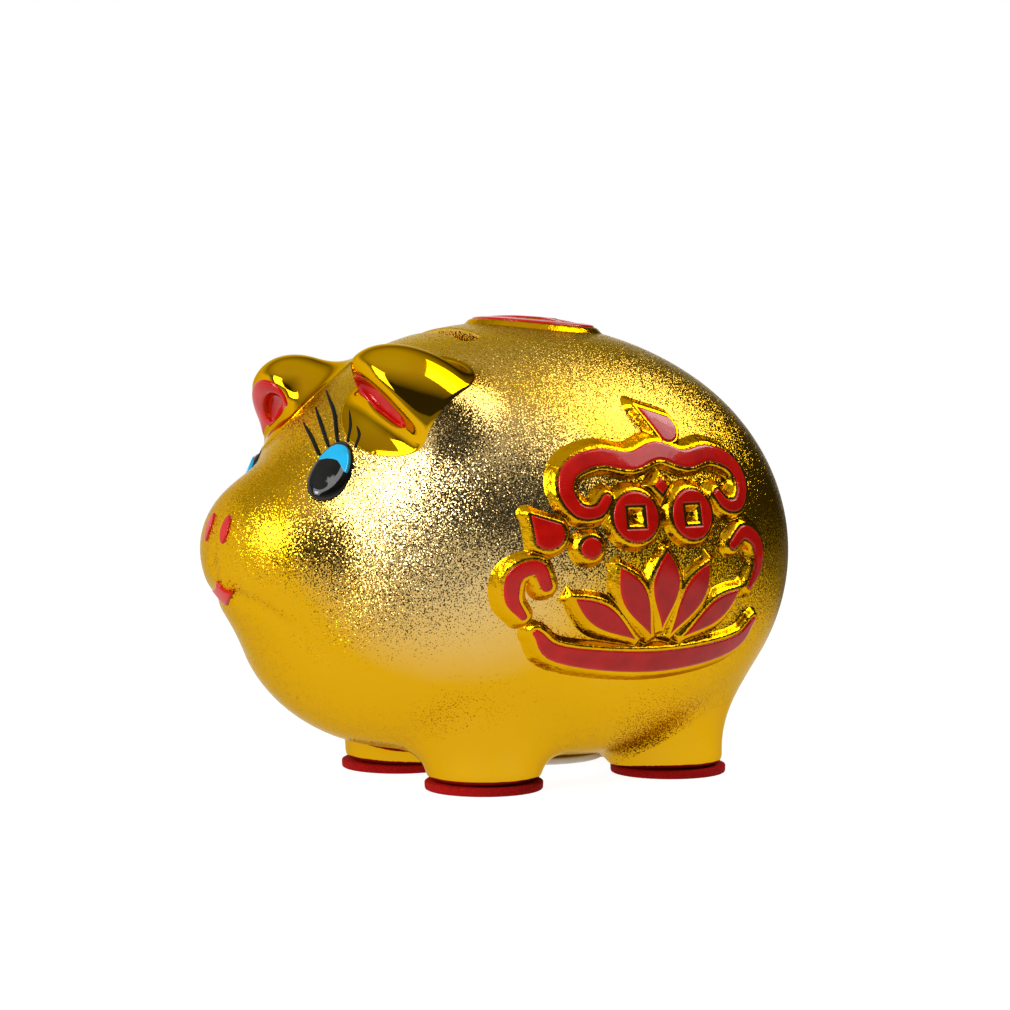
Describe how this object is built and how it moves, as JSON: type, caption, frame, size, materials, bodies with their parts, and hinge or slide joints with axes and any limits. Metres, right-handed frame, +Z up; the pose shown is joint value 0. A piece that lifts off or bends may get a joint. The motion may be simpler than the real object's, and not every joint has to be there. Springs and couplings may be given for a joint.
{
  "type": "piggy bank",
  "caption": "Pig-shaped coin bank of gilded ceramic with raised red enamel ornament, painted eyes, a coin slot across its back and a pull-out belly stopper.",
  "frame": {"origin": "on the floor under the middle of the bank, at the centre of its overall box's base", "axes": "+Z up, the pig faces -Y, +X is the pig's left side"},
  "size_m": [0.1236, 0.1577, 0.1128],
  "materials": {
    "satin_gold": "satin",
    "mirror_gold": "polished",
    "red_enamel": "gloss",
    "black_enamel": "gloss",
    "blue_enamel": "gloss",
    "pad_felt": "matte",
    "stopper_rubber": "satin"
  },
  "bodies": {
    "bank": {"body_shell": "satin_gold", "tail": "mirror_gold", "front_left_foot_pad": "pad_felt", "front_right_foot_pad": "pad_felt", "rear_left_foot_pad": "pad_felt", "rear_right_foot_pad": "pad_felt", "left_ear": "mirror_gold", "right_ear": "mirror_gold", "left_ear_lining": "red_enamel", "right_ear_lining": "red_enamel", "left_eye": "black_enamel", "right_eye": "black_enamel", "left_iris": "blue_enamel", "right_iris": "blue_enamel", "left_lash_1": "black_enamel", "left_lash_2": "black_enamel", "left_lash_3": "black_enamel", "left_lash_4": "black_enamel", "left_lash_5": "black_enamel", "right_lash_1": "black_enamel", "right_lash_2": "black_enamel", "right_lash_3": "black_enamel", "right_lash_4": "black_enamel", "right_lash_5": "black_enamel", "left_nostril": "red_enamel", "right_nostril": "red_enamel", "mouth": "red_enamel", "back_coin": "red_enamel", "left_flank_pearl": "red_enamel", "left_flank_canopy": "red_enamel", "left_flank_front_coin": "red_enamel", "left_flank_rear_coin": "red_enamel", "left_flank_knot": "red_enamel", "left_flank_petal_middle": "red_enamel", "left_flank_petal_inner_front": "red_enamel", "left_flank_petal_inner_rear": "red_enamel", "left_flank_petal_outer_front": "red_enamel", "left_flank_petal_outer_rear": "red_enamel", "left_flank_bowl": "red_enamel", "left_flank_bud": "red_enamel", "left_flank_berry": "red_enamel", "left_flank_front_curl": "red_enamel", "left_flank_rear_curl": "red_enamel", "right_flank_pearl": "red_enamel", "right_flank_canopy": "red_enamel", "right_flank_front_coin": "red_enamel", "right_flank_rear_coin": "red_enamel", "right_flank_knot": "red_enamel", "right_flank_petal_middle": "red_enamel", "right_flank_petal_inner_front": "red_enamel", "right_flank_petal_inner_rear": "red_enamel", "right_flank_petal_outer_front": "red_enamel", "right_flank_petal_outer_rear": "red_enamel", "right_flank_bowl": "red_enamel", "right_flank_bud": "red_enamel", "right_flank_berry": "red_enamel", "right_flank_front_curl": "red_enamel", "right_flank_rear_curl": "red_enamel"},
    "stopper": {"belly_stopper": "stopper_rubber"}
  },
  "joints": [
    {"name": "stopper_pull", "type": "slide", "parent": "bank", "child": "stopper", "axis": [0, 0, -1], "range_m": [0, 0.015]}
  ]
}
